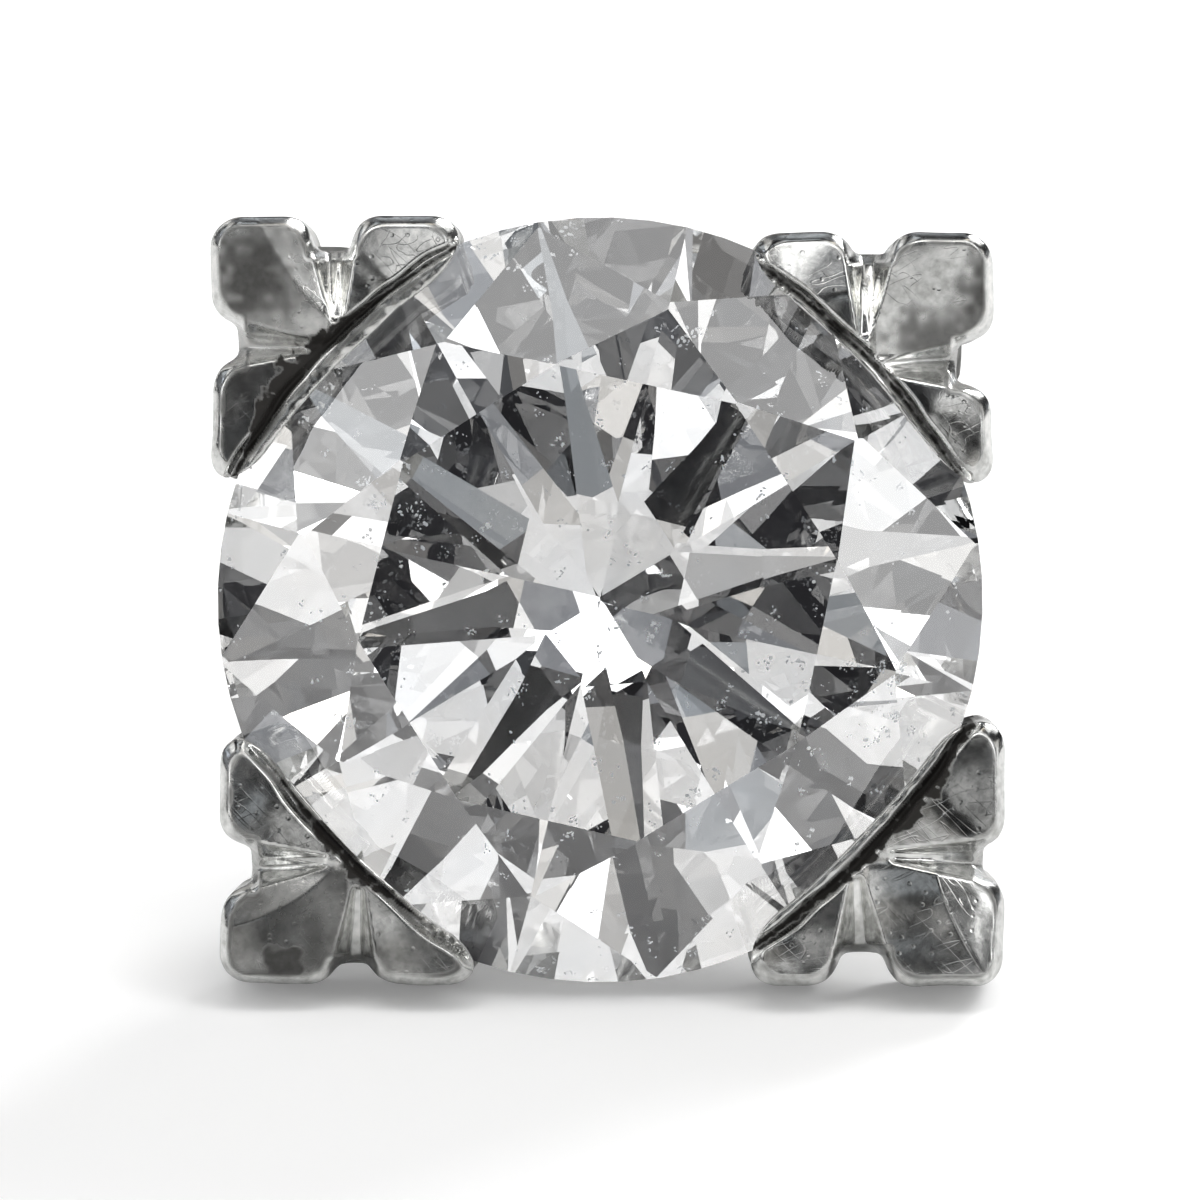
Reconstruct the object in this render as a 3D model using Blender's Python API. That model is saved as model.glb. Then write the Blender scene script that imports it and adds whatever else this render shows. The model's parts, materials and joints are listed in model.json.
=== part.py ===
"""Stud earring: a round brilliant held by four fluted corner claws on a tapered basket with an ear post.

The stud is modelled about its own axis: +X to the wearer's view right, +Y up across the face and +Z out of
the face, with the middle of the stone's girdle at zero. It is then laid down the way it comes to rest by
itself, on the rear edges of its two lower claws and on the rounded end of its post. Metres, +Z up.
"""

import math

import bmesh
import bpy
from mathutils import Matrix, Vector

MM = 0.001

# Round brilliant stone
STONE_DIAMETER = 6.5 * MM
TABLE_DIAMETER = 4.1 * MM
CROWN_HEIGHT = 0.81 * MM
GIRDLE_THICKNESS = 0.2 * MM
PAVILION_DEPTH = 2.8 * MM
STAR_REACH = 0.5
LOWER_HALF_REACH = 0.77
STONE_TURN_DEG = 9.4
MAIN_FACETS = 8
GIRDLE_SIDES = 64

# Claw plates, seen from the front
CLAW_STAND_OUT = 0.06 * MM
CLAW_GRIP = 0.29 * MM
CLAW_LENGTH = 2.17 * MM
INNER_EDGE_RADIUS = 7.5 * MM
CORNER_ROUNDING = 0.26 * MM
TIP_TAPER = 0.3 * MM
TIP_ROUNDING = 0.2 * MM

# Claw plates, through their thickness
LIP_THICKNESS = 0.1 * MM
LIP_WIDTH = 0.12 * MM
LIP_STEP = 0.2 * MM
CLAW_BACK = 0.55 * MM
EDGE_ROUNDING = 0.07 * MM

# Flutes cut into each outer side of a claw
CORNER_LOBE = 0.86 * MM
FLUTE_WIDTH = 0.43 * MM
FLUTE_LENGTH = 0.92 * MM
FLUTE_DEPTH = 0.5 * MM
NOTCH_DEPTH = 0.22 * MM
NOTCH_FLOOR_SHARE = 0.4

# Basket behind the claws
LEG_INSET = 0.26 * MM
LEG_TOP_WIDTH = 1.15 * MM
LEG_BASE_WIDTH = 0.75 * MM
LEG_ROUNDING = 0.16 * MM
LEG_ROOT = 0.3 * MM
GALLERY_DROP = 1.45 * MM
GALLERY_WIDTH = 0.45 * MM
GALLERY_HEIGHT = 0.5 * MM
GALLERY_CLEARANCE = 0.12 * MM

# Base plate and ear post
CULET_CLEARANCE = 0.15 * MM
BASE_DIAMETER = 3.5 * MM
BASE_THICKNESS = 0.6 * MM
BASE_ROUNDING = 0.1 * MM
POST_DIAMETER = 0.9 * MM
POST_LENGTH = 9.5 * MM
POST_ROOT = 0.12 * MM
POST_TIP_LENGTH = 0.4 * MM
POST_TIP_FLAT = 0.16 * MM
GROOVE_FROM_TIP = 1.8 * MM
GROOVE_WIDTH = 0.5 * MM
GROOVE_DEPTH = 0.07 * MM

# Fit between the stone and the metal
SEAT_CLEARANCE = 0.05 * MM

# Distances under which points count as one
FACET_TOLERANCE = 0.0001 * MM
WELD_DISTANCE = 0.0005 * MM

# Roundness of turned and bent shapes
TURN_SIDES = 32
GALLERY_SIDES = 48
ARC_STEPS = 4
EDGE_STEPS = 14
BEVEL_STEPS = 2
FLUTE_SIDES = 12

# How far each claw reaches from the stone's axis, as shares of the common reach, and how long its two lobes
# are, as shares of CLAW_LENGTH. Columns: across, up, reach_across, reach_up, length_across, length_up.
CLAWS = {
    "upper_left": (-1, 1, 0.996, 0.984, 0.98, 1.04),
    "upper_right": (1, 1, 1.006, 0.947, 0.95, 0.99),
    "lower_left": (-1, -1, 0.971, 0.985, 1.01, 0.98),
    "lower_right": (1, -1, 1.041, 0.985, 1.0, 1.045),
}

# Sizes that follow from the ones above
stone_radius = STONE_DIAMETER / 2
table_radius = TABLE_DIAMETER / 2
girdle_top = GIRDLE_THICKNESS / 2
main_step = 2 * math.pi / MAIN_FACETS
half_step = main_step / 4
crown_slope = CROWN_HEIGHT / (stone_radius - table_radius)
pavilion_slope = PAVILION_DEPTH / stone_radius
table_side = table_radius * math.cos(main_step / 2)
star_radius = table_side + STAR_REACH * (stone_radius - table_side)
star_rise = (stone_radius - star_radius * math.cos(main_step / 2)) * crown_slope
upper_slope = star_rise / ((stone_radius - star_radius) * math.cos(half_step))
lower_radius = (1 - LOWER_HALF_REACH) * stone_radius
lower_drop = (stone_radius - lower_radius * math.cos(main_step / 2)) * pavilion_slope
lower_slope = lower_drop / ((stone_radius - lower_radius) * math.cos(half_step))

claw_reach = stone_radius + CLAW_STAND_OUT
lip_height = girdle_top + CLAW_GRIP * upper_slope + LIP_THICKNESS
claw_height = lip_height + LIP_STEP
inner_centre = (stone_radius - CLAW_GRIP - INNER_EDGE_RADIUS) / math.sqrt(2)
flute_centre = CORNER_LOBE + FLUTE_WIDTH / 2

base_top = -(girdle_top + PAVILION_DEPTH + CULET_CLEARANCE)
base_back = base_top - BASE_THICKNESS
base_radius = BASE_DIAMETER / 2
post_radius = POST_DIAMETER / 2
post_end = base_back - POST_LENGTH
leg_base_height = (base_top + base_back) / 2
leg_base_place = (base_radius - BASE_ROUNDING) / math.sqrt(2) - LEG_BASE_WIDTH / 2


def material(name, colour, metallic, roughness, transmission=0.0, ior=1.5):
    made = bpy.data.materials.new(name)
    made.use_nodes = True
    shader = made.node_tree.nodes["Principled BSDF"]
    shader.inputs["Base Color"].default_value = (*colour, 1.0)
    shader.inputs["Metallic"].default_value = metallic
    shader.inputs["Roughness"].default_value = roughness
    shader.inputs["Transmission Weight"].default_value = transmission
    shader.inputs["IOR"].default_value = ior
    return made


def solid(name, bm):
    """Turns a bmesh into a scene object with outward faces."""
    bmesh.ops.recalc_face_normals(bm, faces=bm.faces)
    mesh = bpy.data.meshes.new(name)
    bm.to_mesh(mesh)
    bm.free()
    made = bpy.data.objects.new(name, mesh)
    bpy.context.scene.collection.objects.link(made)
    return made


def prism(name, outline, low, high):
    """A straight-sided solid over a flat outline of (x, y) points."""
    bm = bmesh.new()
    floor = [bm.verts.new((x, y, low)) for x, y in outline]
    roof = [bm.verts.new((x, y, high)) for x, y in outline]
    bm.faces.new(floor)
    bm.faces.new(roof)
    for here in range(len(outline)):
        after = (here + 1) % len(outline)
        bm.faces.new((floor[here], floor[after], roof[after], roof[here]))
    return solid(name, bm)


def turned(name, profile, sides):
    """A turned solid. The profile is (radius, height) from top to bottom; radius 0 closes it on the axis."""
    bm = bmesh.new()
    rings = []
    for radius, height in profile:
        if radius == 0:
            rings.append([bm.verts.new((0, 0, height))])
            continue
        ring = []
        for side in range(sides):
            angle = 2 * math.pi * side / sides
            ring.append(bm.verts.new((radius * math.cos(angle), radius * math.sin(angle), height)))
        rings.append(ring)
    closed = profile[0][0] != 0
    pairs = list(zip(rings, rings[1:]))
    if closed:
        pairs.append((rings[-1], rings[0]))
    for upper, lower in pairs:
        for side in range(sides):
            after = (side + 1) % sides
            corners = [upper[side % len(upper)], upper[after % len(upper)]]
            corners += [lower[after % len(lower)], lower[side % len(lower)]]
            bm.faces.new(list(dict.fromkeys(corners)))
    return solid(name, bm)


def combine(target, operation, tools):
    """Applies one Boolean operation with each tool in turn, and removes the tools."""
    for tool in tools:
        step = target.modifiers.new(tool.name, "BOOLEAN")
        step.operation = operation
        step.solver = "EXACT"
        step.object = tool
    bpy.context.view_layer.update()
    seen = target.evaluated_get(bpy.context.evaluated_depsgraph_get())
    result = bpy.data.meshes.new_from_object(seen)
    target.modifiers.clear()
    target.data = result
    for tool in tools:
        bpy.data.objects.remove(tool)
    return target


def tidy_faces(made, sharp_deg):
    """Joins flat faces that a Boolean split, and shades the round ones smooth."""
    bm = bmesh.new()
    bm.from_mesh(made.data)
    bmesh.ops.remove_doubles(bm, verts=bm.verts, dist=WELD_DISTANCE)
    bmesh.ops.dissolve_limit(bm, angle_limit=math.radians(0.2), verts=bm.verts, edges=bm.edges)
    bmesh.ops.triangulate(bm, faces=bm.faces)
    bm.to_mesh(made.data)
    bm.free()
    made.data.shade_smooth()
    made.data.set_sharp_from_angle(angle=math.radians(sharp_deg))


# Stone


def grind(bm, azimuth, slope, radius, height, side):
    """Cuts one facet. Its plane passes through (radius, height) at the azimuth and falls away outwards by
    the slope; side is 1 on the crown and -1 on the pavilion."""
    outward = Vector((math.cos(azimuth), math.sin(azimuth), 0))
    normal = outward * slope + Vector((0, 0, side))
    point = outward * radius + Vector((0, 0, side * height))
    cut = bmesh.ops.bisect_plane(
        bm,
        geom=bm.verts[:] + bm.edges[:] + bm.faces[:],
        dist=FACET_TOLERANCE,
        plane_co=point,
        plane_no=normal.normalized(),
        clear_outer=True,
    )
    rim = [item for item in cut["geom_cut"] if isinstance(item, bmesh.types.BMEdge) and item.is_boundary]
    if rim:
        bmesh.ops.contextual_create(bm, geom=rim)


def brilliant(name, growth=1.0):
    """A round brilliant, ground facet by facet from a blank. Growth above 1 makes the seat's cutter."""
    blank_half = 2 * (CROWN_HEIGHT + PAVILION_DEPTH)
    bm = bmesh.new()
    turn = math.radians(STONE_TURN_DEG)
    rim = []
    for side in range(GIRDLE_SIDES):
        angle = turn + 2 * math.pi * side / GIRDLE_SIDES
        rim.append((stone_radius * math.cos(angle), stone_radius * math.sin(angle)))
    low = [bm.verts.new((x, y, -blank_half)) for x, y in rim]
    high = [bm.verts.new((x, y, blank_half)) for x, y in rim]
    bm.faces.new(low)
    bm.faces.new(high)
    for here in range(GIRDLE_SIDES):
        after = (here + 1) % GIRDLE_SIDES
        bm.faces.new((low[here], low[after], high[after], high[here]))
    half_radius = stone_radius * math.cos(half_step)
    grind(bm, turn, 0.0, 0.0, girdle_top + CROWN_HEIGHT, 1)
    for main in range(MAIN_FACETS):
        azimuth = turn + main * main_step
        grind(bm, azimuth, crown_slope, stone_radius, girdle_top, 1)
        grind(bm, azimuth, pavilion_slope, stone_radius, girdle_top, -1)
    star_slope = (CROWN_HEIGHT - star_rise) / (star_radius - table_side)
    for main in range(MAIN_FACETS):
        azimuth = turn + (main + 0.5) * main_step
        grind(bm, azimuth, star_slope, table_side, girdle_top + CROWN_HEIGHT, 1)
        for offset in (-half_step, half_step):
            grind(bm, azimuth + offset, upper_slope, half_radius, girdle_top, 1)
            grind(bm, azimuth + offset, lower_slope, half_radius, girdle_top, -1)
    bmesh.ops.scale(bm, vec=(growth, growth, growth), verts=bm.verts)
    return solid(name, bm)


# Claws


def arc(centre_x, centre_y, radius_x, radius_y, start_deg, steps=ARC_STEPS):
    """A quarter of an ellipse, turning left from its start."""
    points = []
    for step in range(steps + 1):
        angle = math.radians(start_deg + 90 * step / steps)
        points.append((centre_x + radius_x * math.cos(angle), centre_y + radius_y * math.sin(angle)))
    return points


def inner_edge(along):
    """How far out the claw's inner edge lies, measured across, at a place along one of its sides."""
    return inner_centre + math.sqrt(INNER_EDGE_RADIUS**2 - (along - inner_centre) ** 2)


def claw_outline(reach_x, reach_y, length_x, length_y):
    """The claw seen from the front, in the corner where x and y are positive."""
    end_x = reach_x - length_x
    end_y = reach_y - length_y
    round_x = min(TIP_ROUNDING, 0.8 * (reach_y - inner_edge(end_x)))
    round_y = min(TIP_ROUNDING, 0.8 * (reach_x - inner_edge(end_y)))
    points = arc(reach_x - round_y, end_y + TIP_TAPER, round_y, TIP_TAPER, 270)
    points += arc(reach_x - CORNER_ROUNDING, reach_y - CORNER_ROUNDING, CORNER_ROUNDING, CORNER_ROUNDING, 0)
    points += arc(end_x + TIP_TAPER, reach_y - round_x, TIP_TAPER, round_x, 90)
    first = math.atan2(inner_edge(end_x) - inner_centre, end_x - inner_centre)
    last = math.atan2(end_y - inner_centre, inner_edge(end_y) - inner_centre)
    for step in range(EDGE_STEPS + 1):
        angle = first + (last - first) * step / EDGE_STEPS
        x = inner_centre + INNER_EDGE_RADIUS * math.cos(angle)
        y = inner_centre + INNER_EDGE_RADIUS * math.sin(angle)
        points.append((x, y))
    return points


def lip_cutter(name):
    """Lowers a band along the inner edge, which leaves the thin lip that holds the stone."""
    band = []
    spread = 1.5 * CLAW_LENGTH / INNER_EDGE_RADIUS
    for radius, way in ((INNER_EDGE_RADIUS + LIP_WIDTH, 1), (INNER_EDGE_RADIUS - CLAW_LENGTH / 2, -1)):
        for step in range(EDGE_STEPS + 1):
            angle = math.pi / 4 + way * spread * (2 * step / EDGE_STEPS - 1)
            band.append((inner_centre + radius * math.cos(angle), inner_centre + radius * math.sin(angle)))
    return prism(name, band, lip_height, claw_height + LIP_STEP)


def flute_cutter(name, side_x, reach_y):
    """A pointed flute on the claw's top, running out over the side at side_x and deepening as it goes."""
    overrun = 1.3
    tip = Vector((side_x, reach_y - FLUTE_LENGTH, claw_height))
    out = reach_y + (overrun - 1) * FLUTE_LENGTH
    bm = bmesh.new()
    point = bm.verts.new(tip)
    ring = []
    for side in range(FLUTE_SIDES):
        angle = 2 * math.pi * side / FLUTE_SIDES
        across = overrun * FLUTE_WIDTH / 2 * math.cos(angle)
        rise = overrun * FLUTE_DEPTH * math.sin(angle)
        ring.append(bm.verts.new((side_x + across, out, claw_height + rise)))
    bm.faces.new(ring)
    for side in range(FLUTE_SIDES):
        bm.faces.new((point, ring[side], ring[(side + 1) % FLUTE_SIDES]))
    return solid(name, bm)


def notch_cutter(name, side_x, reach_y):
    """The flute's run down the claw's side, seen from the front as a notch in the outline."""
    floor = NOTCH_FLOOR_SHARE * FLUTE_WIDTH / 2
    mouth = FLUTE_WIDTH - floor
    outline = [
        (side_x - floor, reach_y - NOTCH_DEPTH),
        (side_x + floor, reach_y - NOTCH_DEPTH),
        (side_x + mouth, reach_y + NOTCH_DEPTH),
        (side_x - mouth, reach_y + NOTCH_DEPTH),
    ]
    return prism(name, outline, -2 * CLAW_BACK, 2 * claw_height)


def leg(name, reach_x, reach_y):
    """A square bar from inside the claw plate down and in to the base plate."""
    top_half = LEG_TOP_WIDTH / 2
    places = (
        (reach_x - LEG_INSET - top_half, reach_y - LEG_INSET - top_half, top_half),
        (leg_base_place, leg_base_place, LEG_BASE_WIDTH / 2),
    )
    bm = bmesh.new()
    rings = []
    for (x, y, half), height in zip(places, (LEG_ROOT - CLAW_BACK, leg_base_height)):
        corners = ((x - half, y - half), (x + half, y - half), (x + half, y + half), (x - half, y + half))
        rings.append([bm.verts.new((*corner, height)) for corner in corners])
    bm.faces.new(rings[0])
    bm.faces.new(rings[1])
    long_edges = []
    for here in range(4):
        after = (here + 1) % 4
        bm.faces.new((rings[0][here], rings[0][after], rings[1][after], rings[1][here]))
        long_edges.append(bm.edges.get((rings[0][here], rings[1][here])))
    bmesh.ops.recalc_face_normals(bm, faces=bm.faces)
    bmesh.ops.bevel(
        bm, geom=long_edges, offset=LEG_ROUNDING, segments=BEVEL_STEPS, profile=0.5, affect="EDGES"
    )
    return solid(name, bm)


def round_top_edges(made):
    """Rounds the edges round the top face."""
    bm = bmesh.new()
    bm.from_mesh(made.data)
    top = [e for e in bm.edges if all(v.co.z > claw_height - EDGE_ROUNDING / 2 for v in e.verts)]
    bmesh.ops.bevel(
        bm, geom=top, offset=EDGE_ROUNDING, segments=BEVEL_STEPS, profile=0.5, affect="EDGES"
    )
    bm.to_mesh(made.data)
    bm.free()


def swap_across(made):
    """Mirrors a solid over the diagonal, so that one cutter serves both sides of a claw."""
    made.data.transform(Matrix(((0, 1, 0, 0), (1, 0, 0, 0), (0, 0, 1, 0), (0, 0, 0, 1))))
    made.data.flip_normals()
    return made


def claw(name, across, up, reach_share_x, reach_share_y, length_share_x, length_share_y):
    reach_x = claw_reach * reach_share_x
    reach_y = claw_reach * reach_share_y
    outline = claw_outline(reach_x, reach_y, CLAW_LENGTH * length_share_x, CLAW_LENGTH * length_share_y)
    made = prism(name, outline, -CLAW_BACK, claw_height)
    round_top_edges(made)
    cutters = [
        lip_cutter(name + "_lip"),
        flute_cutter(name + "_flute_x", reach_x - flute_centre, reach_y),
        notch_cutter(name + "_notch_x", reach_x - flute_centre, reach_y),
        swap_across(flute_cutter(name + "_flute_y", reach_y - flute_centre, reach_x)),
        swap_across(notch_cutter(name + "_notch_y", reach_y - flute_centre, reach_x)),
    ]
    combine(made, "DIFFERENCE", cutters)
    combine(made, "UNION", [leg(name + "_leg", reach_x, reach_y)])
    made.data.transform(Matrix.Diagonal((across, up, 1, 1)))
    if across * up < 0:
        made.data.flip_normals()
    return made


# Basket, base plate and post


def gallery():
    """The ring that ties the four legs together behind the girdle, clear of the stone's pavilion."""
    high = -GALLERY_DROP + GALLERY_HEIGHT / 2
    low = high - GALLERY_HEIGHT
    inner = stone_radius - (-girdle_top - high) / pavilion_slope + GALLERY_CLEARANCE
    outer = inner + GALLERY_WIDTH
    cut = min(GALLERY_WIDTH, GALLERY_HEIGHT) / 5
    profile = [
        (inner + cut, high),
        (outer - cut, high),
        (outer, high - cut),
        (outer, low + cut),
        (outer - cut, low),
        (inner + cut, low),
        (inner, low + cut),
        (inner, high - cut),
    ]
    return turned("gallery", profile, GALLERY_SIDES)


def post_profile():
    """The ear post from its root at the base plate to its rounded end, as (radius, height)."""
    groove = post_end + GROOVE_FROM_TIP
    points = [
        (post_radius + POST_ROOT, base_back),
        (post_radius, base_back - POST_ROOT),
        (post_radius, groove + GROOVE_WIDTH / 2),
        (post_radius - GROOVE_DEPTH, groove + GROOVE_WIDTH / 4),
        (post_radius - GROOVE_DEPTH, groove - GROOVE_WIDTH / 4),
        (post_radius, groove - GROOVE_WIDTH / 2),
    ]
    for step in range(ARC_STEPS + 1):
        angle = math.pi / 2 * step / ARC_STEPS
        radius = POST_TIP_FLAT + (post_radius - POST_TIP_FLAT) * math.cos(angle)
        points.append((radius, post_end + POST_TIP_LENGTH * (1 - math.sin(angle))))
    return points


def base_and_post():
    profile = [
        (0, base_top),
        (base_radius - BASE_ROUNDING, base_top),
        (base_radius, base_top - BASE_ROUNDING),
        (base_radius, base_back + BASE_ROUNDING),
        (base_radius - BASE_ROUNDING, base_back),
    ]
    return turned("setting", profile + post_profile() + [(0, post_end)], TURN_SIDES)


def rest_angle():
    """How far the face looks up when the lower claws' rear edges and the post's end touch the surface."""
    lowest = claw_reach * max(row[3] for row in CLAWS.values() if row[1] < 0)
    return min(math.atan2(lowest - radius, -CLAW_BACK - height) for radius, height in post_profile())


def lay_down(pieces):
    """Hangs the pieces on one empty, tilts it to the rest angle and stands it on the origin's plane."""
    stand = bpy.data.objects.new("stud_at_rest", None)
    bpy.context.scene.collection.objects.link(stand)
    stand.rotation_euler = (math.pi / 2 - rest_angle(), 0, 0)
    for piece in pieces:
        piece.parent = stand
    bpy.context.view_layer.update()
    corners = [piece.matrix_world @ vertex.co for piece in pieces for vertex in piece.data.vertices]
    low = Vector([min(corner[axis] for corner in corners) for axis in range(3)])
    high = Vector([max(corner[axis] for corner in corners) for axis in range(3)])
    stand.location = (-(low.x + high.x) / 2, -(low.y + high.y) / 2, -low.z)
    bpy.context.view_layer.update()


for old in list(bpy.data.objects):
    bpy.data.objects.remove(old)

white_metal = material("polished white metal", (0.78, 0.77, 0.75), 1.0, 0.16)
clear_stone = material("clear colourless stone", (0.98, 0.98, 1.0), 0.0, 0.0, transmission=1.0, ior=2.42)

stone = brilliant("stone")
stone.data.set_sharp_from_angle(angle=math.radians(1))
stone.data.materials.append(clear_stone)

setting = base_and_post()
claws = [claw(name, *row) for name, row in CLAWS.items()]
combine(setting, "UNION", [gallery()] + claws)
combine(setting, "DIFFERENCE", [brilliant("seat", growth=1 + SEAT_CLEARANCE / stone_radius)])
tidy_faces(setting, 35)
setting.data.materials.append(white_metal)

lay_down([stone, setting])
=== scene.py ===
import json
import math
import random

import bmesh
import bpy
import numpy as np
from mathutils import Matrix, Vector


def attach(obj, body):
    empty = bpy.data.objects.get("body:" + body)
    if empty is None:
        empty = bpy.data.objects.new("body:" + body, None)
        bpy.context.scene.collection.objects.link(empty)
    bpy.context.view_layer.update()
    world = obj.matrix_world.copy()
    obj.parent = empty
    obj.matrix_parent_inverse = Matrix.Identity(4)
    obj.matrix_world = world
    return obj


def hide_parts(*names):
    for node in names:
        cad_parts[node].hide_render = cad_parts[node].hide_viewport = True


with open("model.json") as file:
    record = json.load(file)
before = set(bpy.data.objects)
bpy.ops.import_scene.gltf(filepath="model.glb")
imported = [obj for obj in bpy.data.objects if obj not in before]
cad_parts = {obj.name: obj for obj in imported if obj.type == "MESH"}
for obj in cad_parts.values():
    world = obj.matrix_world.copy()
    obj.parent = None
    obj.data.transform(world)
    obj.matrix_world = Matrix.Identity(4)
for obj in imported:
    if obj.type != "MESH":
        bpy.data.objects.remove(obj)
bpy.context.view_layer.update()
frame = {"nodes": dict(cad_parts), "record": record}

MM = 0.001

# The claw's sizes in millimetres, close to the solids'
STONE_RADIUS = 3.25
CLAW_GRIP = 0.29
INNER_EDGE_RADIUS = 7.5
INNER_CENTRE = (STONE_RADIUS - CLAW_GRIP - INNER_EDGE_RADIUS) / math.sqrt(2)
CORNER_ROUNDING = 0.27
LIP_HEIGHT = 0.45
CLAW_HEIGHT = 0.645
CLAW_BACK = -0.55
SEAT_GROWTH = 1.0125
SEAT_WELD = 0.0001 * MM

# The claw's outline in millimetres: half the square that its corner is cut from, how softly its edges meet,
# and a notch's width at its mouth and taper, as shares of the flute's
BODY_HALF = 3.0
INNER_BLEND = 0.05
TIP_BLEND = 0.26
NOTCH_BLEND = 0.2
NOTCH_CORNER = 0.06
NOTCH_MOUTH = 0.92
NOTCH_TAPER = 0.35

# The claw's finer forms in millimetres
CORNER_LOBE_IN = 0.42
SIDE_LOBE_IN = 0.28
LOBE_HALF = 0.33
LOBE_BLEND = 0.14
TOP_BLEND = 0.02
BOW_SPAN = 0.4
SIDE_BAND = 0.085
SIDE_BAND_DROP = 0.13
SIDE_BAND_CURVE = 1.4
FLUTE_FLOOR = 0.055
FLUTE_DEPTH = 0.5
FLUTE_SPREAD = 0.56
FLUTE_DRIFT = 0.05
FLUTE_INNER_SHARE = 0.12
FLUTE_CURVE = 1.2
FLUTE_OUTMOST = 1.2
FLUTE_END = 0.06
LIP_GROOVE_WIDTH = 0.07
LIP_GROOVE_DEPTH = 0.05
LIP_STEP = 0.045
LIP_DOME = 0.012
LIP_UNDER_TOP = 0.3
BEAD_PITCH = 0.105
BEAD_HEIGHT = 0.04
BEAD_SINK = 0.8
BEAD_FADE = 0.05

# Unevenness: how strong it is, its span in millimetres, and its number
WAVERS = {
    "top": (0.003, 0.27, 0),
    "lip_edge": (0.02, 0.25, 2),
    "lip_top": (0.007, 0.09, 3),
    "beads": (0.3, 0.2, 4),
    "tilt": (0.014, 0.4, 5),
    "outline": (0.014, 0.37, 6),
    "lip_line_edge": (0.45, 0.05, 3),
    "lip_line_reach": (0.3, 0.17, 4),
    "lip_line_break": (0.5, 0.04, 9),
    "rim_shade": (0.9, 0.15, 7),
    "mouth_dirt_and_shade": (1.2, 0.1, 8),
    "tarnish_and_shade": (0.35, 0.16, 6),
    "stain_and_shade_spots": (0.35, 0.08, 10),
}

# The claw's mesh: the sheet's cell in millimetres, and the rows of its walls as shares of the way down,
# with how far each comes in
CELL = 0.017
WALL_ROWS = ((0.25, 0.0), (0.6, 0.0), (0.93, 0.0), (1.0, 0.0245))
SMALL_STEP = 1e-4
LEAST_STEEPNESS = 0.2

# Dirt, tarnish and painted shade, from 0 to 1, and where they fade, in millimetres. The levels of the line
# behind the lip, the rim and the mouths are from before their unevenness.
# Painted shade: the claws' walls get darker further down
WALL_SHADE = 0.22
WALL_SHADE_TOP = 0.25
WALL_SHADE_FADE = 0.3
# The line behind the lip, against the stone: dirt and painted shade in the crevice
LINE_EDGE = 0.012
LINE_RISE = 0.02
LINE_FADE = 0.035
LINE_LEAST = 0.01
LINE_LEVEL = 1.1
# Painted shade along the rim of the plate's top
RIM_SHADE = 0.5
RIM_LEVEL = 0.7
RIM_SHADE_WIDTH = 0.018
RIM_DEPTH = 0.35
# Dirt and painted shade in the flutes' mouths
MOUTH_DIRT_AND_SHADE = 0.5
MOUTH_LEVEL = 0.5
MOUTH_REACH = 0.28
MOUTH_DROP = 0.1
FLAT_FADE = 0.03
FLAT_DROP = 0.05
# Tarnish and painted shade on the lip
LIP_TARNISH_AND_SHADE = 0.15
LIP_TARNISH_AND_SHADE_FADE = 0.02
SPOT_SQUARENESS = 2.5
# Painted shade in the creases where two pieces meet
CREASE_SHADE = 0.55
CREASE_REACH = 0.1
CREASE_SPANS = (0.13, 0.11)
CREASE_NUMBER = 5
BASKET_GRIME = 0.03
WALL_TARNISH = 0.12
BASKET_TARNISH = 0.1

# The stone's hand-ground facets: how far they lean and how much comes off. Steep faces, which are the girdle,
# and the large one, the table, stay. Points within the weld are one, and so are faces within FLAT_DEG.
STONE_SEED = 7
FACET_LEAN_DEG = 0.5
FACET_TRIM = 0.0036
GIRDLE_SLOPE = 0.2
TABLE_AREA = 8
STONE_WELD = 0.0002
FLAT_DEG = 0.3

# The crystals inside the stone, in millimetres
INCLUSION_SEED = 4
CLUMPS = 70
CLUMP_REACH = 0.72 * STONE_RADIUS
CLUMP_SPREAD = 0.028
INNER_REACH = 1.6
INNER_DEPTHS = (-1.1, 0.4)
OUTER_DEPTHS = (-0.5, 0.3)
CLUSTER_CLUMPS = 22
CLUSTER_PLACE = (2.25, -0.75)
CLUSTER_SPREAD = (0.2, 0.28)
CLUSTER_DEPTHS = (0.05, 0.4)
GRAIN_SIZES = (0.007, 0.02)
GRAIN_VARIATION = (0.5, 1.2)
GRAINS_IN_CLUMP = (1, 7)
GRAIN_LENGTHS = (0.5, 1.9)
GRAIN_THICKNESSES = (0.3, 0.8)
GRAIN_TURNS = (0, 6.28)

# Basket, base plate and post in millimetres, as the solids have them
LEG_INSET = 0.26
LEG_TOP_WIDTH = 1.15
LEG_BASE_WIDTH = 0.75
LEG_TOP = -0.25
LEG_BOTTOM = -3.35
LEG_ROUNDING = 0.2
LEG_SQUARENESS = 5
LEG_SIDES = 32
LEG_ROWS = 36
GALLERY_DROP = 1.45
GALLERY_INNER = 2.093
GALLERY_WIDTH = 0.45
GALLERY_HEIGHT = 0.5
GALLERY_ROUNDING = 0.12
GALLERY_SIDES = 128
BASE_TOP = -3.05
BASE_BACK = -3.65
BASE_RADIUS = 1.75
BASE_ROUNDING = 0.1
POST_RADIUS = 0.449
POST_END = -13.143
POST_ROOT = 0.12
POST_TIP_LENGTH = 0.4
POST_TIP_FLAT = 0.16
GROOVE_FROM_TIP = 1.8
GROOVE_WIDTH = 0.5
GROOVE_DEPTH = 0.07
POST_SIDES = 96
ROW_LENGTH = 0.22
SHARP_EDGE_DEG = 50

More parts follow.
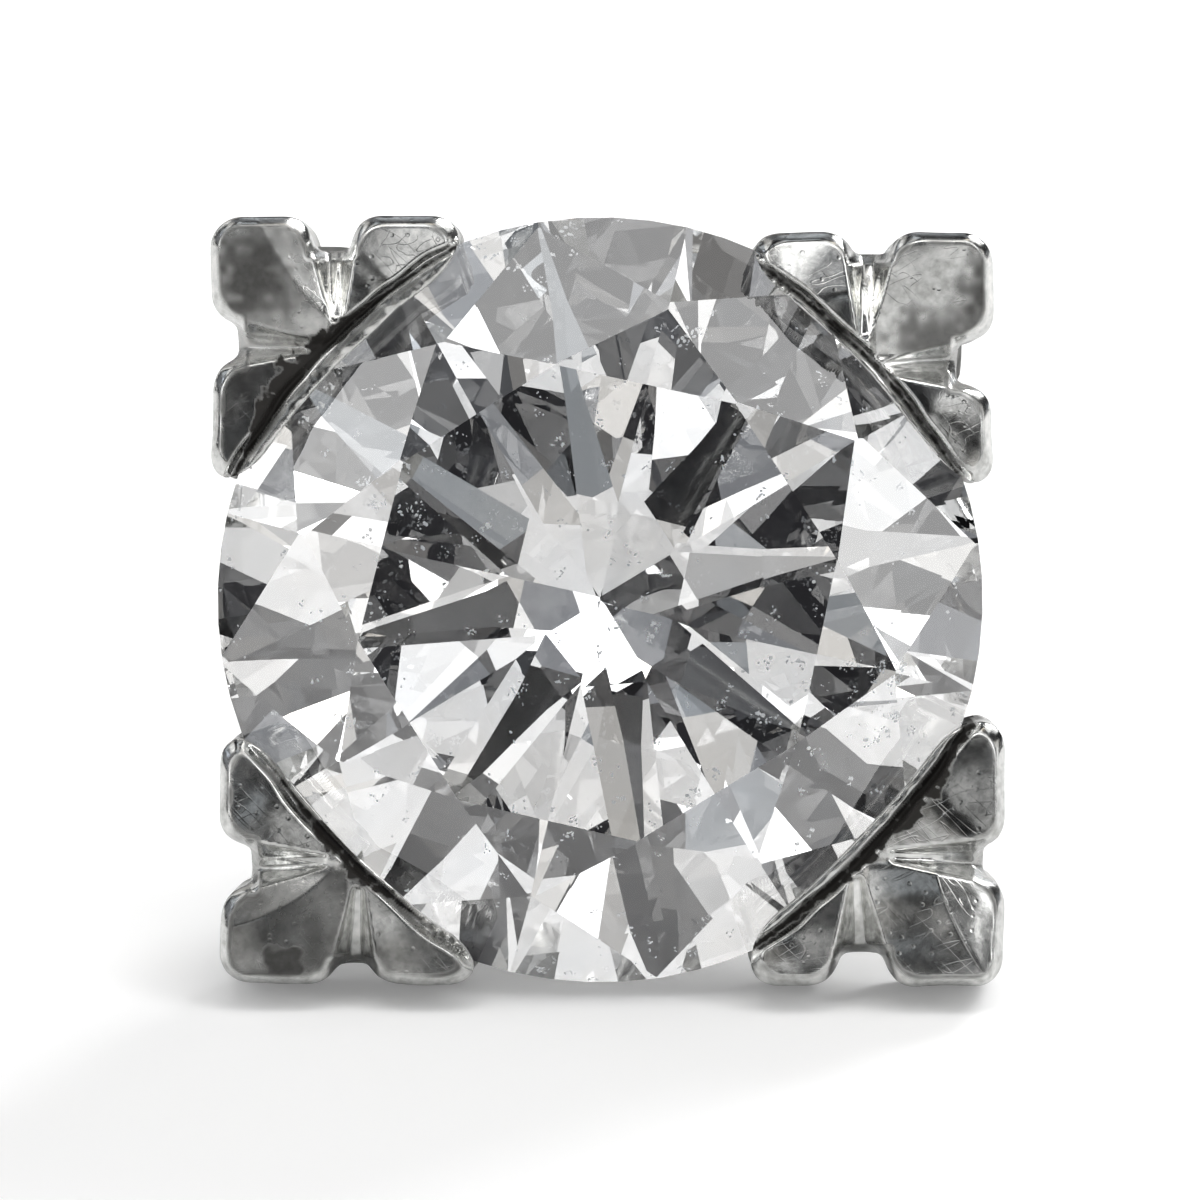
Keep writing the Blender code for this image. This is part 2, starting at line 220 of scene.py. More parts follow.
# White metal: its colour by the sum of a cloudy and a fine noise, and how deep its pits are by the distance
# from their middle. A noise has its scale, detail and roughness, and scratches have a turn and a shift
# each. Ranges give from low, from high, to low and to high. Bumps have a strength and a height in metres.
METAL_CLOUDS = (1.6, 5.0, 0.6)
METAL_SPECKLE = (14.0, 4.0)
METAL_TONES = ((0.36, (0.45, 0.45, 0.435)), (0.5, (0.7, 0.705, 0.69)), (0.64, (0.88, 0.87, 0.85)))
# Dark grey, for tarnish and for the painted shade of dark reflections on lobes and lip
TARNISH_AND_SHADE_COLOUR = (0.13, 0.13, 0.125, 1)
# Near black, for dirt and for painted shade in crevices, creases, down the walls and along rims
DIRT_AND_SHADE_COLOUR = (0.018, 0.016, 0.014, 1)
DIRT_AND_SHADE_BY_SPECKLE = (0.3, 0.6, 1.0, 1.6)
METALLIC_BY_DIRT_AND_SHADE = (0, 1, 1.0, 0.35)
ROUGH_BY_CLOUDS = (0.3, 0.7, 0.09, 0.24)
DIRT_AND_SHADE_ROUGHNESS = 0.4
TARNISH_AND_SHADE_ROUGHNESS = 0.12
PIT_SCALE = 9.0
PIT_LEVELS = ((0.0, 1), (0.1, 0.8), (0.2, 0))
PIT_DEPTH = 2.5
SPECKLE_RELIEF = 1.2
METAL_BUMP = (0.1, 0.006 * MM)
SCRATCHES = (((0.2, -0.8, 0.1), 3.0), ((0.1, 0.4, 0.2), 11.0))
SCRATCH_STRETCH = (0.35, 11, 11)
SCRATCH_NOISE = (1.0, 0.0)
SCRATCH_LEVELS = ((0.0, 0), (0.485, 0), (0.5, 1), (0.515, 0))
SCRATCHED_NOISE = (2.3, 2.0)
SCRATCHED_LEVELS = ((0.0, 0), (0.46, 0), (0.6, 1))

# The stone's faint tints and slight waves, and its crystals' colours and painted glow
STONE_CLOUDS = (0.9, 2.0)
STONE_TINTS = ((0.35, (0.97, 0.985, 1.0)), (0.65, (1.0, 0.99, 0.97)))
STONE_WAVES = (1.2, 0.0)
STONE_BUMP = (0.03, 0.01 * MM)
CRYSTAL_CLOUDS = (6.0, 3.0)
STONE_INDEX = 2.42
CRYSTAL_TINTS = ((0.3, (0.75, 0.78, 0.82)), (0.7, (1.0, 0.98, 0.94)))
CRYSTAL_ROUGHNESS = 0.35
CRYSTAL_PAINTED_GLOW = (0.9, 0.95, 1, 1)
CRYSTAL_PAINTED_GLOW_STRENGTH = 0.3

# Camera
CAMERA_RIGHT_DEG = 0.8
CAMERA_ABOVE_DEG = 1.5
FRAME_WIDTH = 10.2 * MM
LENS = 300
CAMERA_CLIP = (0.005, 5)

# Floor: its radius in metres, its sides, its grey, and how much lighter the camera sees it
FLOOR_RADIUS = 1.5
FLOOR_SIDES = 96
FLOOR_ROUGHNESS = 0.9
FLOOR_GREY = (0.88, 0.88, 0.88, 1)
FLOOR_LIFT = 0.19

# Light from the surroundings: levels by angle off the camera's side as a share of half a turn, and levels
# of the patches, by a random value from 0 to 1. Past the far angle, in radians, the patches are another
# draw.
WORLD_LEVELS = (
    (0.0, 0.3), (0.08, 0.35), (0.16, 0.9), (0.3, 1.08), (0.5, 0.72), (0.85, 0.45), (1.0, 0.2),
)
PATCH_LEVELS = (
    (0.0, (0.03, 0.03, 0.033)), (0.5, (0.3, 0.31, 0.33)), (0.62, (0.99, 0.97, 0.94)),
    (0.74, (0.94, 1.0, 1.06)), (0.81, (1.8, 1.8, 1.8)), (0.975, (2.0, 1.8, 1.5)), (0.987, (1.3, 1.4, 1.6)),
)
PATCH_SIZE = 0.2
PATCH_TURN = (0.5, 0.3, 0.7)
PATCH_SEED = 61.0
PATCH_FAR_SHIFT = 44.0
PATCH_FAR_ANGLE = 0.8
BACKDROP = (0.95, 0.95, 0.95, 1)

# Softboxes: name, azimuth and elevation that they shine from, width, height, brightness
LIGHT_DISTANCE = 0.25
LIGHTS = (
    ("key", 150, 30, 0.09, 0.09, 16.0),
    ("left", -70, 30, 0.07, 0.2, 2.0),
    ("right", 55, 40, 0.07, 0.2, 2.5),
    ("top", 5, 70, 0.2, 0.08, 2.5),
)
BOUNCES = 16

# One row a claw. Signs of the corner. Reach from the stone's axis across and up. Length of the lobe along
# the top or bottom, and of the one along the side. For the flute on the top or bottom and the one on the
# side: start and end of its mouth from the corner, depth of its notch, and how far in it runs. For the lobe
# at the corner, the one along the top or bottom and the one along the side: degrees that it leans to the
# right and up and that it bows, and how far tarnish and painted shade darken it. Panels are flats ground on
# the corner lobe: a point on their edge, from the corner, and their lean. Spots are stains that also paint
# shade: place from the corner, half sizes, strength, and softness of the edge. The lip has its width in the
# middle and at the ends. Beads give the stretch of it that is beaded, from -1 to 1. Dirt and painted shade
# behind the lip have their reach at the worst place and elsewhere, that place and its span, and their
# strength.
CLAWS = {
    "upper_left": {
        "signs": (-1, 1), "reach": (3.297, 3.257), "length": (2.127, 2.257),
        "flutes": ((0.80, 1.26, 0.28, 0.92), (0.83, 1.30, 0.21, 0.86)),
        "leans": ((-3, -4, 4), (12, 9, 5), (0, 9, 4)), "tarnish_and_shade": (0.45, 0.2, 0.6),
        "panels": ((0.6, 0.4, 19, 10),), "stain_and_shade_spots": ((0.36, 0.52, 0.32, 0.36, 0.85, 1.3),),
        "lip": (0.17, 0.08), "beads": (0, 0), "dirt_and_shade": (0.16, 0.01, 0.3, 0.42, 1.0),
    },
    "upper_right": {
        "signs": (1, 1), "reach": (3.330, 3.135), "length": (2.062, 2.148),
        "flutes": ((0.82, 1.28, 0.19, 0.93), (0.85, 1.36, 0.29, 0.98)),
        "leans": ((2, -10, 4), (-7, 19, 3), (9, 1, 7)), "tarnish_and_shade": (0.12, 0.0, 0.05),
        "panels": (), "stain_and_shade_spots": ((0.03, 0.6, 0.22, 0.42, 0.85, 1.4), (0.4, 0.9, 0.45, 0.22, 0.7, 1.4)),
        "lip": (0.075, 0.055), "beads": (-1.0, -0.45), "dirt_and_shade": (0.035, 0.015, 0.0, 0.8, 0.75),
    },
    "lower_left": {
        "signs": (-1, -1), "reach": (3.214, 3.260), "length": (2.192, 2.127),
        "flutes": ((0.93, 1.34, 0.14, 0.86), (0.76, 1.26, 0.24, 0.94)),
        "leans": ((0, -1, 5), (-2, -1, 5), (0, 9, 5)), "tarnish_and_shade": (0.72, 0.55, 0.1),
        "panels": ((0.1, 0.5, -8, 19),), "stain_and_shade_spots": ((0.57, 0.2, 0.16, 0.14, 0.9, 0.3),),
        "lip": (0.05, 0.045), "beads": (-1.0, -0.5), "dirt_and_shade": (0.09, 0.0, 0.0, 0.35, 0.9),
    },
    "lower_right": {
        "signs": (1, -1), "reach": (3.446, 3.260), "length": (2.17, 2.268),
        "flutes": ((0.93, 1.50, 0.27, 0.96), (0.87, 1.27, 0.17, 1.0)),
        "leans": ((-1, 0, 4), (-2, 2, 5), (1, 2, 5)), "tarnish_and_shade": (0.15, 0.2, 0.15),
        "panels": ((0.36, 0.4, 19, 11),), "stain_and_shade_spots": (),
        "lip": (0.11, 0.09), "beads": (0, 0), "dirt_and_shade": (0.12, 0.035, 0.45, 0.5, 1.0),
    },
}


# The stud's own frame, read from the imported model: across, up the face, and out of the face


def local_to_world():
    """The stud's own frame in the scene's, with its origin in the middle of the stone's girdle."""
    mount = next(m for m in frame["record"]["mounts"] if m["name"] == "base_back")
    face = -Vector(mount["axis"]).normalized()
    across = Vector((1, 0, 0))
    up = face.cross(across).normalized()
    turn = Matrix((across, up, face)).transposed()
    points = [turn.transposed() @ v.co for v in frame["nodes"]["stone"].data.vertices]
    middle = [(min(p[a] for p in points) + max(p[a] for p in points)) / 2 for a in range(2)]
    reach = max(math.hypot(p[0] - middle[0], p[1] - middle[1]) for p in points)
    rim = [p[2] for p in points if math.hypot(p[0] - middle[0], p[1] - middle[1]) > 0.999 * reach]
    centre = turn @ Vector((middle[0], middle[1], (min(rim) + max(rim)) / 2))
    return Matrix.Translation(centre) @ turn.to_4x4()


PLACE = local_to_world()
MM_TO_WORLD = PLACE @ Matrix.Scale(MM, 4)


def make_object(name, bm, matrix=MM_TO_WORLD):
    """A scene object from a bmesh in the stud's own frame, in millimetres."""
    bmesh.ops.recalc_face_normals(bm, faces=bm.faces)
    bm.transform(matrix)
    mesh = bpy.data.meshes.new(name)
    bm.to_mesh(mesh)
    bm.free()
    made = bpy.data.objects.new(name, mesh)
    bpy.context.scene.collection.objects.link(made)
    return made


def evaluated_copy(made):
    """A mesh of the object with its modifiers applied."""
    bpy.context.view_layer.update()
    seen = made.evaluated_get(bpy.context.evaluated_depsgraph_get())
    return bpy.data.meshes.new_from_object(seen)


def combine(target, operation, tools):
    """Applies one Boolean operation with each tool in turn, and removes the tools."""
    for tool in tools:
        step = target.modifiers.new(tool.name, "BOOLEAN")
        step.operation = operation
        step.solver = "MANIFOLD"
        step.object = tool
    result = evaluated_copy(target)
    target.modifiers.clear()
    target.data = result
    for tool in tools:
        bpy.data.objects.remove(tool)


# Claw plates


def box_distance(x, y, half_x, half_y, rounding):
    """Signed distance to a rounded rectangle about zero."""
    dx = np.abs(x) - half_x + rounding
    dy = np.abs(y) - half_y + rounding
    outside = np.hypot(np.maximum(dx, 0), np.maximum(dy, 0))
    return outside + np.minimum(np.maximum(dx, dy), 0) - rounding


def smooth_max(a, b, blend):
    h = np.clip(0.5 + 0.5 * (a - b) / blend, 0, 1)
    return b + (a - b) * h + blend * h * (1 - h)


def smooth_min(a, b, blend):
    return -smooth_max(-a, -b, blend)


def smooth_step(value):
    """A soft rise from 0 to 1."""
    value = np.clip(value, 0, 1)
    return value * value * (3 - 2 * value)


def slope(degrees):
    return math.tan(math.radians(degrees))


def hash_noise(x, y, seed):
    """Smooth noise between -1 and 1 over a plane, from a fixed lattice of values."""
    size = 64
    table = np.random.default_rng(seed).uniform(-1, 1, (size, size))
    ix = np.floor(x).astype(int)
    iy = np.floor(y).astype(int)
    fx = smooth_step(x - ix)
    fy = smooth_step(y - iy)
    low = table[ix % size, iy % size] * (1 - fx) + table[(ix + 1) % size, iy % size] * fx
    high = table[ix % size, (iy + 1) % size] * (1 - fx) + table[(ix + 1) % size, (iy + 1) % size] * fx
    return low * (1 - fy) + high * fy


def waver(name, x, y, seed=0):
    """The unevenness of that name at points of the plane."""
    strength, span, number = WAVERS[name]
    return strength * hash_noise(x / span, y / span, seed + number)


class Claw:
    """One claw plate in the corner where x and y are positive, as an outline and a height over it."""

    def __init__(self, row, seed):
        self.row = row
        self.reach = row["reach"]
        self.length = row["length"]
        self.flutes = row["flutes"]
        self.seed = seed
        ends = [(flute[1] + length) / 2 for flute, length in zip(self.flutes, self.length)]
        self.centres = (
            (self.reach[0] - CORNER_LOBE_IN, self.reach[1] - CORNER_LOBE_IN),
            (self.reach[0] - ends[0], self.reach[1] - SIDE_LOBE_IN),
            (self.reach[0] - SIDE_LOBE_IN, self.reach[1] - ends[1]),
        )

    def inner_distance(self, x, y):
        """How far out a point lies from the inner edge, which bears on the stone."""
        return np.hypot(x - INNER_CENTRE, y - INNER_CENTRE) - INNER_EDGE_RADIUS

    def across(self, x, y):
        """Where a point lies along the lip, from -1 at one end to 1 at the other."""
        return (x - y) / self.length[0]

    def by_flute(self, x, y):
        """For each flute: how far points lie from the corner along its side, how far in, and its row."""
        from_side, from_top = self.reach[0] - x, self.reach[1] - y
        return (from_side, from_top, self.flutes[0]), (from_top, from_side, self.flutes[1])

    def notch(self, along, inward, flute):
        """Signed distance to the notch that a flute leaves in the outline."""
        start, end, depth, _ = flute
        middle = (start + end) / 2
        half = (end - start) / 2
        lean = np.clip(inward / depth, -1, 1)
        side = np.abs(along - middle) - half * (NOTCH_MOUTH - NOTCH_TAPER * lean)
        return smooth_max(side, inward - depth, NOTCH_CORNER)

    def outline(self, x, y):
        """Signed distance to the plate's outline, negative on the metal."""
        reach_x, reach_y = self.reach
        corner_x, corner_y = x - reach_x + BODY_HALF, y - reach_y + BODY_HALF
        body = box_distance(corner_x, corner_y, BODY_HALF, BODY_HALF, CORNER_ROUNDING)
        tips = np.maximum(reach_x - self.length[0] - x, reach_y - self.length[1] - y)
        shape = smooth_max(smooth_max(body, -self.inner_distance(x, y), INNER_BLEND), tips, TIP_BLEND)
        for along, inward, flute in self.by_flute(x, y):
            shape = smooth_max(shape, -self.notch(along, inward, flute), NOTCH_BLEND)
        return shape + WAVERS["outline"][0] + waver("outline", x, y, self.seed)

    def flute_drop(self, along, inward, flute):
        """How far a flute lowers the top, from its pointed inner end out to the side."""
        start, end, _, run = flute
        middle = (start + end) / 2
        out = np.clip(1 - inward / run, 0, FLUTE_OUTMOST)
        half = FLUTE_FLOOR + (FLUTE_SPREAD * (end - start) - FLUTE_FLOOR) * out
        floor = FLUTE_FLOOR * (0.5 + 0.5 * out)
        off_middle = np.abs(along - middle - FLUTE_DRIFT * (1 - out))
        rise = (off_middle - floor) / np.maximum(half - floor, 0.01)
        wall = 0.5 * smooth_step(rise) + 0.5 * np.clip(rise, 0, 1)
        deep = FLUTE_DEPTH * (FLUTE_INNER_SHARE + (1 - FLUTE_INNER_SHARE) * out**FLUTE_CURVE)
        return np.where(inward < run, deep * (1 - wall), 0) * smooth_step((run - inward) / FLUTE_END)

    def drop(self, x, y):
        """How far the flutes lower the top."""
        return np.maximum.reduce([self.flute_drop(*place) for place in self.by_flute(x, y)])

    def lobe_shares(self, x, y):
        """How far a point belongs to the corner lobe, the one along the top or bottom, and the side one."""
        along, beside = (
            smooth_step((distance - (flute[0] + flute[1]) / 2) / LOBE_BLEND + 0.5)
            for distance, _, flute in self.by_flute(x, y)
        )
        both = along * beside
        return (1 - along) * (1 - beside), along - both / 2, beside - both / 2

    def leaning(self, dx, dy, right, up, bow=0):
        """A surface through zero, lower to the side that it leans to, and bowed by so many degrees."""
        fall_x = self.row["signs"][0] * slope(right)
        fall_y = self.row["signs"][1] * slope(up)
        return -fall_x * dx - fall_y * dy - slope(bow) / (2 * BOW_SPAN) * (dx * dx + dy * dy)

    def lobe_tops(self, x, y):
        """The lobes' tops, below the claw's full height."""
        tops = 0
        for (cx, cy), lean, share in zip(self.centres, self.row["leans"], self.lobe_shares(x, y)):
            sunk = LOBE_HALF * math.hypot(slope(lean[0]), slope(lean[1]))
            top = self.leaning(x - cx, y - cy, *lean) - sunk
            if (cx, cy) == self.centres[0]:
                for offset_x, offset_y, right, up in self.row["panels"]:
                    px, py = self.reach[0] - offset_x, self.reach[1] - offset_y
                    edge = self.leaning(px - cx, py - cy, *lean) - sunk
                    top = np.minimum(top, edge + self.leaning(x - px, y - py, right, up))
            tops = tops + share * top
        return smooth_min(tops, 0, TOP_BLEND)

    def lip_width(self, x, y):
        middle, ends = self.row["lip"]
        return ends + (middle - ends) * (1 - np.clip(self.across(x, y), -1, 1) ** 2)

    def beads(self, x, y, round_share):
        """The beads on the lip. The share runs over the lip and half its groove."""
        first, last = self.row["beads"]
        across = self.across(x, y)
        beaded = smooth_step((across - first) / BEAD_FADE) * smooth_step((last - across) / BEAD_FADE)
        round_top = np.sin(np.pi * np.clip(round_share, 0, 1))
        run = (x - y) / math.sqrt(2) / BEAD_PITCH + waver("beads", x, y, self.seed)
        return BEAD_HEIGHT * beaded * round_top * (2 * np.abs(np.sin(np.pi * run)) - BEAD_SINK)

    def height(self, x, y):
        """The height of the plate's top above the girdle plane."""
        distance = -self.outline(x, y)
        inside = self.inner_distance(x, y)
        top = CLAW_HEIGHT - WAVERS["tilt"][0] + self.lobe_tops(x, y) + waver("tilt", x, y, self.seed)
        top = top - SIDE_BAND_DROP * np.clip(1 - distance / SIDE_BAND, 0, 1) ** SIDE_BAND_CURVE
        lobes = top - self.drop(x, y) + waver("top", x, y, self.seed)
        width = self.lip_width(x, y)
        wobble = waver("lip_edge", x, y, self.seed)
        step = smooth_step((inside - width - LIP_GROOVE_WIDTH - wobble + WAVERS["lip_edge"][0]) / LIP_STEP)
        off_groove = (inside - width - 0.5 * LIP_GROOVE_WIDTH - wobble) / (0.45 * LIP_GROOVE_WIDTH)
        lip = LIP_HEIGHT + LIP_DOME * np.sin(np.pi * np.clip(inside / width, 0, 1))
        lip = lip - LIP_GROOVE_DEPTH * np.exp(-off_groove**2) + waver("lip_top", x, y, self.seed)
        lip = lip + self.beads(x, y, inside / (width + 0.5 * LIP_GROOVE_WIDTH))
        return np.minimum(lip * (1 - step) + lobes * step, lobes + LIP_UNDER_TOP)


def all_claws():
    """Each claw's name, row and plate."""
    return [(name, row, Claw(row, 10 * number + 1)) for number, (name, row) in enumerate(CLAWS.items())]


def without_pinches(kept):
    """Drops cells that touch another at one corner only, so that the sheet's rim is one simple loop."""
    for _ in range(4):
        padded = np.pad(kept, 1)
        a, b, c, d = padded[:-1, :-1], padded[1:, :-1], padded[:-1, 1:], padded[1:, 1:]
        crossing = (a & d & ~b & ~c) | (b & c & ~a & ~d)
        touching = crossing[1:, 1:] | crossing[:-1, 1:] | crossing[1:, :-1] | crossing[:-1, :-1]
        kept = kept & ~touching
    return kept


def on_outline(claw, x, y):
    """Points near the claw's outline, moved onto it."""
    for _ in range(4):
        value = claw.outline(x, y)
        slope_x = (claw.outline(x + SMALL_STEP, y) - claw.outline(x - SMALL_STEP, y)) / (2 * SMALL_STEP)
        slope_y = (claw.outline(x, y + SMALL_STEP) - claw.outline(x, y - SMALL_STEP)) / (2 * SMALL_STEP)
        move = np.clip(value / np.maximum(slope_x**2 + slope_y**2, LEAST_STEEPNESS), -CELL, CELL)
        x, y = x - move * slope_x, y - move * slope_y
    return x, y


def claw_plate(name, row, claw):
    """Meshes a claw plate as a fine sheet that follows its outline, with walls and a flat back."""
    lines = []
    for reach, length in zip(claw.reach, claw.length):
        low = reach - length - 4 * CELL
        lines.append(low + CELL * np.arange(int((reach - low) / CELL) + 4))
    x, y = np.meshgrid(*lines, indexing="ij")
    kept = claw.outline((x[:-1, :-1] + x[1:, 1:]) / 2, (y[:-1, :-1] + y[1:, 1:]) / 2) < 0
    kept = without_pinches(kept)
    corners = np.zeros(x.shape, int)
    for dx, dy in ((0, 0), (1, 0), (0, 1), (1, 1)):
        corners[dx:dx + kept.shape[0], dy:dy + kept.shape[1]] += kept
    used = corners > 0
    border = used & (corners < 4)
    x[border], y[border] = on_outline(claw, x[border], y[border])
    z = claw.height(x, y)
    number = -np.ones(x.shape, int)
    number[used] = np.arange(used.sum())
    bm = bmesh.new()
    points = np.stack([x[used], y[used], z[used]], axis=1)
    verts = [bm.verts.new(p) for p in points.tolist()]
    for i, j in np.argwhere(kept).tolist():
        around = number[i, j], number[i + 1, j], number[i + 1, j + 1], number[i, j + 1]
        bm.faces.new([verts[n] for n in around])
    rim = [e for e in bm.edges if e.is_boundary]
    fall = 0.0
    for share, pinch in WALL_ROWS:
        step = bmesh.ops.extrude_edge_only(bm, edges=rim)
        rim = [item for item in step["geom"] if isinstance(item, bmesh.types.BMEdge)]
        for v in {v for e in rim for v in e.verts}:
            v.co.z += (CLAW_BACK - v.co.z) * (share - fall) / (1 - fall)
            v.co.x -= pinch
            v.co.y -= pinch
        fall = share
    bmesh.ops.contextual_create(bm, geom=rim)
    bm.transform(Matrix.Diagonal((*row["signs"], 1, 1)))
    return make_object("claw_" + name, bm)


# Basket, base plate and post, in millimetres


def turned(name, profile, sides):
    """A turned solid. Its profile is (radius, height) from the top down, where radius 0 closes it."""
    bm = bmesh.new()
    rings = []
    for radius, height in profile:
        if radius == 0:
            rings.append([bm.verts.new((0, 0, height))])
            continue
        ring = []
        for side in range(sides):
            angle = 2 * math.pi * side / sides
            ring.append(bm.verts.new((radius * math.cos(angle), radius * math.sin(angle), height)))
        rings.append(ring)
    pairs = list(zip(rings, rings[1:]))
    if profile[0][0] != 0:
        pairs.append((rings[-1], rings[0]))
    for upper, lower in pairs:
        for side in range(sides):
            after = (side + 1) % sides
            corners = [upper[side % len(upper)], upper[after % len(upper)]]
            corners += [lower[after % len(lower)], lower[side % len(lower)]]
            bm.faces.new(list(dict.fromkeys(corners)))
    return make_object(name, bm)


def leg_section(row, share):
    """The middle and the half width of a leg's section, at a share of the way down."""
    half = (LEG_TOP_WIDTH + (LEG_BASE_WIDTH - LEG_TOP_WIDTH) * share) / 2
    base = (BASE_RADIUS - BASE_ROUNDING) / math.sqrt(2) - LEG_BASE_WIDTH / 2
    tops = [reach - LEG_INSET - LEG_TOP_WIDTH / 2 for reach in row["reach"]]
    x, y = (top + (base - top) * share for top in tops)
    return x, y, half


def leg(name, row):
    """A rounded bar from inside the claw plate down and in to the base plate."""
    bm = bmesh.new()
    rings = []
    for step in range(LEG_ROWS + 1):
        share = step / LEG_ROWS
        middle_x, middle_y, half = leg_section(row, share)
        height = LEG_TOP + (LEG_BOTTOM - LEG_TOP) * share
        ring = []
        for side in range(LEG_SIDES):
            angle = 2 * math.pi * side / LEG_SIDES
            c, q = math.cos(angle), math.sin(angle)
            out = (abs(c) ** LEG_SQUARENESS + abs(q) ** LEG_SQUARENESS) ** (-1 / LEG_SQUARENESS)
            ring.append(bm.verts.new((middle_x + half * out * c, middle_y + half * out * q, height)))
        rings.append(ring)
    bm.faces.new(rings[0])
    bm.faces.new(rings[-1])
    for upper, lower in zip(rings, rings[1:]):
        for side in range(LEG_SIDES):
            after = (side + 1) % LEG_SIDES
            bm.faces.new((upper[side], upper[after], lower[after], lower[side]))
    bm.transform(Matrix.Diagonal((*row["signs"], 1, 1)))
    return make_object("leg_" + name, bm)


def quarter(centre_r, centre_h, radius, start_deg, turn_deg=-90, steps=6):
    """A quarter circle in a profile, turning clockwise where the profile runs down its outer side."""
    points = []
    for step in range(steps + 1):
        angle = math.radians(start_deg + turn_deg * step / steps)
        points.append((centre_r + radius * math.cos(angle), centre_h + radius * math.sin(angle)))
    return points


def finer(profile, longest):
    """Splits the profile's long straight runs."""
    points = [profile[0]]
    for (r0, h0), (r1, h1) in zip(profile, profile[1:]):
        parts = max(1, math.ceil(math.hypot(r1 - r0, h1 - h0) / longest))
        for part in range(1, parts + 1):
            points.append((r0 + (r1 - r0) * part / parts, h0 + (h1 - h0) * part / parts))
    return points


def gallery():
    middle_r = GALLERY_INNER + GALLERY_WIDTH / 2
    half_r = GALLERY_WIDTH / 2 - GALLERY_ROUNDING
    half_h = GALLERY_HEIGHT / 2 - GALLERY_ROUNDING
    profile = []
    for sign_r, sign_h, start in ((1, 1, 90), (1, -1, 0), (-1, -1, -90), (-1, 1, -180)):
        centre = middle_r + sign_r * half_r, sign_h * half_h - GALLERY_DROP
        profile += quarter(*centre, GALLERY_ROUNDING, start)
    return turned("gallery", profile, GALLERY_SIDES)


def base_and_post():
    """The base plate and the ear post, with its groove and its rounded tip."""
    profile = [(0, BASE_TOP)]
    profile += quarter(BASE_RADIUS - BASE_ROUNDING, BASE_TOP - BASE_ROUNDING, BASE_ROUNDING, 90)
    profile += quarter(BASE_RADIUS - BASE_ROUNDING, BASE_BACK + BASE_ROUNDING, BASE_ROUNDING, 0)
    profile += quarter(POST_RADIUS + POST_ROOT, BASE_BACK - POST_ROOT, POST_ROOT, 90, 90)
    groove_steps = 16
    for step in range(groove_steps + 1):
        share = step / groove_steps
        dip = 0.5 - 0.5 * math.cos(2 * math.pi * share)
        height = POST_END + GROOVE_FROM_TIP + GROOVE_WIDTH * (0.5 - share)
        profile.append((POST_RADIUS - GROOVE_DEPTH * dip, height))
    tip_steps = 10
    for step in range(tip_steps + 1):
        angle = math.pi / 2 * step / tip_steps
        radius = POST_TIP_FLAT + (POST_RADIUS - POST_TIP_FLAT) * math.cos(angle)
        profile.append((radius, POST_END + POST_TIP_LENGTH * (1 - math.sin(angle))))
    profile.append((0, POST_END))
    return turned("base_and_post", finer(profile, ROW_LENGTH), POST_SIDES)


def seat_cutter():
    """The stone's own solid, grown a little about its centre, which clears the seat in the claws."""
    source = frame["nodes"]["stone"].data
    bm = bmesh.new()
    bm.from_mesh(source)
    bm.transform(PLACE.inverted())
    bmesh.ops.remove_doubles(bm, verts=bm.verts, dist=SEAT_WELD)
    bmesh.ops.scale(bm, vec=(SEAT_GROWTH,) * 3, verts=bm.verts)
    return make_object("seat", bm, PLACE)


# Dirt, tarnish and painted shade


def stud_points(made):
    """Where a scene mesh's points lie in the stud's own frame, in millimetres."""
    flat = np.empty(len(made.data.vertices) * 3, np.float32)
    made.data.vertices.foreach_get("co", flat)
    turn = np.array(MM_TO_WORLD.inverted())
    return flat.reshape(-1, 3) @ turn[:3, :3].T + turn[:3, 3]


def lip_line_dirt_and_shade(claw, x, y, behind):
    """The dirt and painted shade behind the lip, which is broken up and fades out where it is thinnest."""
    peak, base, place, span, strength = claw.row["dirt_and_shade"]
    reach = base + (peak - base) * np.exp(-((claw.across(x, y) - place) / span) ** 2)
    reach = reach * (1 + waver("lip_line_edge", x, y) + waver("lip_line_reach", x, y))
    line = smooth_step((behind + LINE_EDGE) / LINE_RISE) * (1 - smooth_step((behind - reach) / LINE_FADE))
    line = line * smooth_step(reach / LINE_LEAST) * strength
    return line * np.clip(LINE_LEVEL + waver("lip_line_break", x, y), 0, 1)


def stains_and_shade(claw, x, y):
    """The claw's round stains, which also paint shade."""
    marked = np.zeros(len(x))
    for offset_x, offset_y, half_x, half_y, amount, softness in claw.row["stain_and_shade_spots"]:
        off_x = np.abs(claw.reach[0] - x - offset_x) / half_x
        off_y = np.abs(claw.reach[1] - y - offset_y) / half_y
        off = (off_x**SPOT_SQUARENESS + off_y**SPOT_SQUARENESS) ** (1 / SPOT_SQUARENESS)
        off = off + waver("stain_and_shade_spots", x, y)
        marked = np.maximum(marked, amount * (1 - smooth_step((off - 1) / softness + 0.5)))
    return marked


